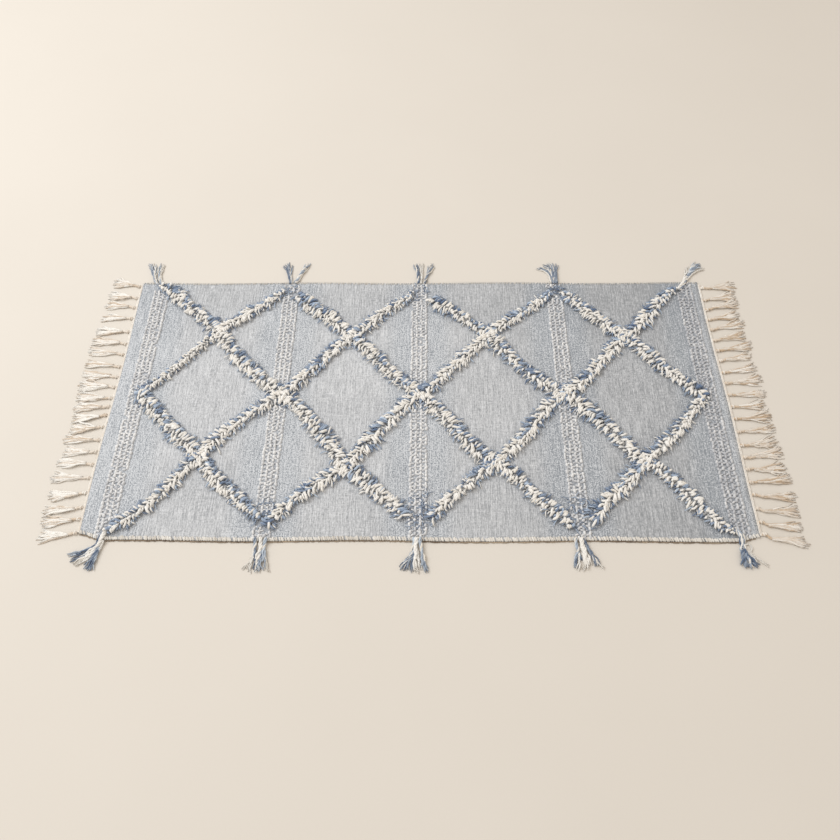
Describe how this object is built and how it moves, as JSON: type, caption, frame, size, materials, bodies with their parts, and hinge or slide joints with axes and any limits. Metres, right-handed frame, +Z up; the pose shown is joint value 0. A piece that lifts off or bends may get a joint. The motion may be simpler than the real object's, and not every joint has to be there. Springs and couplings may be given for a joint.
{
  "type": "kilim rug",
  "caption": "Flat-woven rectangular rug with a raised shaggy diamond lattice, ribbed bands, knotted fringe on its short ends and yarn tassels along its long edges.",
  "frame": {"origin": "on the floor, under the centre of the rug with its fringe and tassels", "axes": "+X along the rug's long side, +Y across it away from the picture's viewer, +Z up out of the face"},
  "size_m": [1.3692, 0.7215, 0.0149],
  "materials": {
    "ground_weave": "matt flat weave, pale blue-grey cotton with fine whitish streaks",
    "cream_yarn": "matt soft cut yarn, cream",
    "blue_yarn": "matt soft cut yarn, slate blue",
    "fringe_cotton": "matt twisted cotton, natural cream"
  },
  "bodies": {
    "root": {"kilim_cloth": "ground_weave", "pile_falling_1": "cream_yarn", "pile_falling_2": "cream_yarn", "pile_falling_3": "cream_yarn", "pile_falling_4": "cream_yarn", "pile_falling_5": "cream_yarn", "pile_rising_1_1": "cream_yarn", "pile_rising_1_2": "cream_yarn", "pile_rising_2_1": "cream_yarn", "pile_rising_2_2": "cream_yarn", "pile_rising_2_3": "cream_yarn", "pile_rising_2_4": "cream_yarn", "pile_rising_3_1": "cream_yarn", "pile_rising_3_2": "cream_yarn", "pile_rising_3_3": "cream_yarn", "pile_rising_3_4": "cream_yarn", "pile_rising_4_1": "cream_yarn", "pile_rising_4_2": "cream_yarn", "pile_rising_4_3": "cream_yarn", "pile_rising_4_4": "cream_yarn", "pile_rising_5_1": "cream_yarn", "pile_rising_5_2": "cream_yarn", "fringe_left": "fringe_cotton", "fringe_right": "fringe_cotton", "tassel_back_1": "blue_yarn", "tassel_back_2": "blue_yarn", "tassel_back_3": "blue_yarn", "tassel_back_4": "blue_yarn", "tassel_back_5": "blue_yarn", "tassel_front_1": "blue_yarn", "tassel_front_2": "blue_yarn", "tassel_front_3": "blue_yarn", "tassel_front_4": "blue_yarn", "tassel_front_5": "blue_yarn"}
  },
  "joints": []
}
